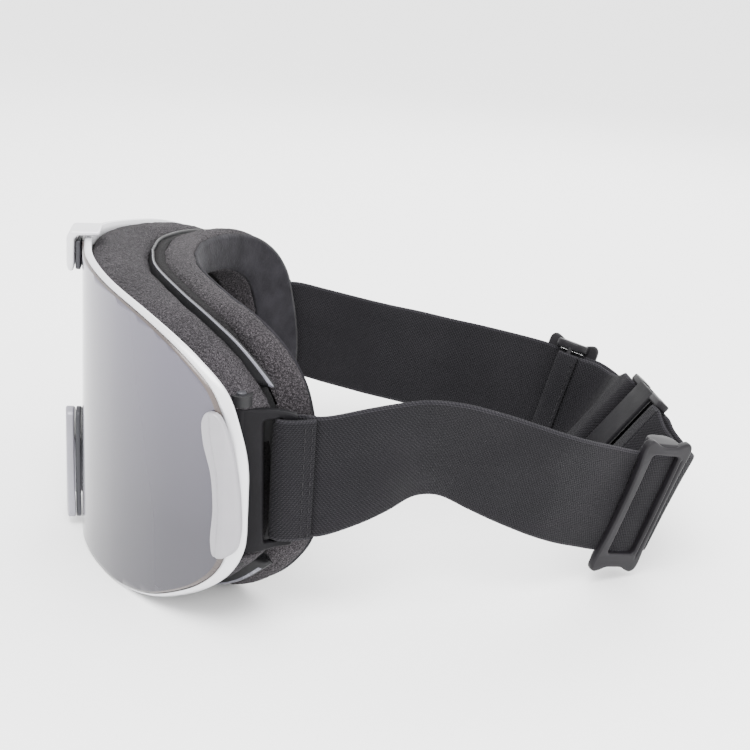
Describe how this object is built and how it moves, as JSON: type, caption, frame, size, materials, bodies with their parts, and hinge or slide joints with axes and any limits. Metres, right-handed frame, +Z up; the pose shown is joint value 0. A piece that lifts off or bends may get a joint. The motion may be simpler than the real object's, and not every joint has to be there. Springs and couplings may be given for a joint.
{
  "type": "motorcycle goggles",
  "caption": "Riding goggles with a curved tinted lens in a silver carrier, layered face foam, hinged outriggers and an adjustable elastic strap with a rear hook buckle.",
  "frame": {"origin": "middle of the footprint, on the surface the goggles stand on", "axes": "+Z up, -Y the way the lens faces, +X the wearer's left"},
  "size_m": [0.1872, 0.2092, 0.102],
  "materials": {
    "lens_smoke": "tinted, semi-mirrored polycarbonate",
    "silver_plastic": "silver satin lacquer",
    "satin_silver": "matte silver lacquer",
    "grey_plastic": "silver lacquer, darker",
    "gasket_rubber": "matte",
    "black_plastic": "satin moulded nylon",
    "flange_plastic": "glossy thin rim",
    "vent_foam": "coarse open-cell foam",
    "smooth_foam": "smooth closed foam",
    "face_foam": "coarse flecked foam",
    "fleece": "brushed fleece",
    "webbing": "woven elastic",
    "pin_steel": "bright"
  },
  "bodies": {
    "frame": {"chassis_frame": "black_plastic", "lens_gasket": "gasket_rubber", "upper_vent_foam": "vent_foam", "lower_vent_foam": "vent_foam", "face_flange": "flange_plastic", "foam_base_layer": "smooth_foam", "face_foam": "face_foam", "fleece_lining": "fleece", "left_hinge_pin": "pin_steel", "left_strap_lead": "webbing", "left_strap": "webbing", "left_rear_strap": "webbing", "left_return_strap": "webbing", "right_hinge_pin": "pin_steel", "right_strap_lead": "webbing", "right_strap": "webbing", "right_rear_strap": "webbing", "right_return_strap": "webbing", "left_buckle_loop": "webbing", "buckle_catch": "black_plastic"},
    "lens_carrier": {"lens": "lens_smoke", "bezel": "silver_plastic", "top_clip": "silver_plastic", "top_catch": "grey_plastic", "nose_clip": "silver_plastic", "nose_catch": "grey_plastic", "left_side_bracket": "satin_silver", "right_side_bracket": "satin_silver"},
    "left_outrigger_arm": {"left_outrigger": "black_plastic", "left_strap_loop": "webbing"},
    "right_outrigger_arm": {"right_outrigger": "black_plastic", "right_strap_loop": "webbing"},
    "left_slider_set": {"left_slider": "black_plastic", "left_sewn_end": "webbing"},
    "right_slider_set": {"right_slider": "black_plastic", "right_sewn_end": "webbing"},
    "buckle_hook_half": {"buckle_hook": "black_plastic", "right_buckle_loop": "webbing"}
  },
  "joints": [
    {"name": "lens_carrier_release", "type": "slide", "parent": "frame", "child": "lens_carrier", "axis": [0, -1, 0], "range_m": [0, 0.03]},
    {"name": "left_outrigger_hinge", "type": "hinge", "parent": "frame", "child": "left_outrigger_arm", "pos_m": [0.0808, -0.04702, 0.047], "axis": [0, 0, 1], "range_deg": [-20, 3], "deforming": ["left_strap_lead"]},
    {"name": "right_outrigger_hinge", "type": "hinge", "parent": "frame", "child": "right_outrigger_arm", "pos_m": [-0.0808, -0.04702, 0.047], "axis": [0, 0, 1], "range_deg": [-3, 20], "deforming": ["right_strap_lead"]},
    {"name": "left_slider_travel", "type": "slide", "parent": "frame", "child": "left_slider_set", "axis": [-0.5054, 0.8389, -0.2021], "range_m": [-0.015, 0.002], "deforming": ["left_return_strap"]},
    {"name": "right_slider_travel", "type": "slide", "parent": "frame", "child": "right_slider_set", "axis": [0.5054, 0.8389, -0.2021], "range_m": [-0.015, 0.002], "deforming": ["right_return_strap"]},
    {"name": "buckle_release", "type": "slide", "parent": "frame", "child": "buckle_hook_half", "axis": [0, 0.6157, 0.788], "range_m": [0, 0.014], "deforming": ["right_rear_strap", "right_return_strap"]}
  ]
}
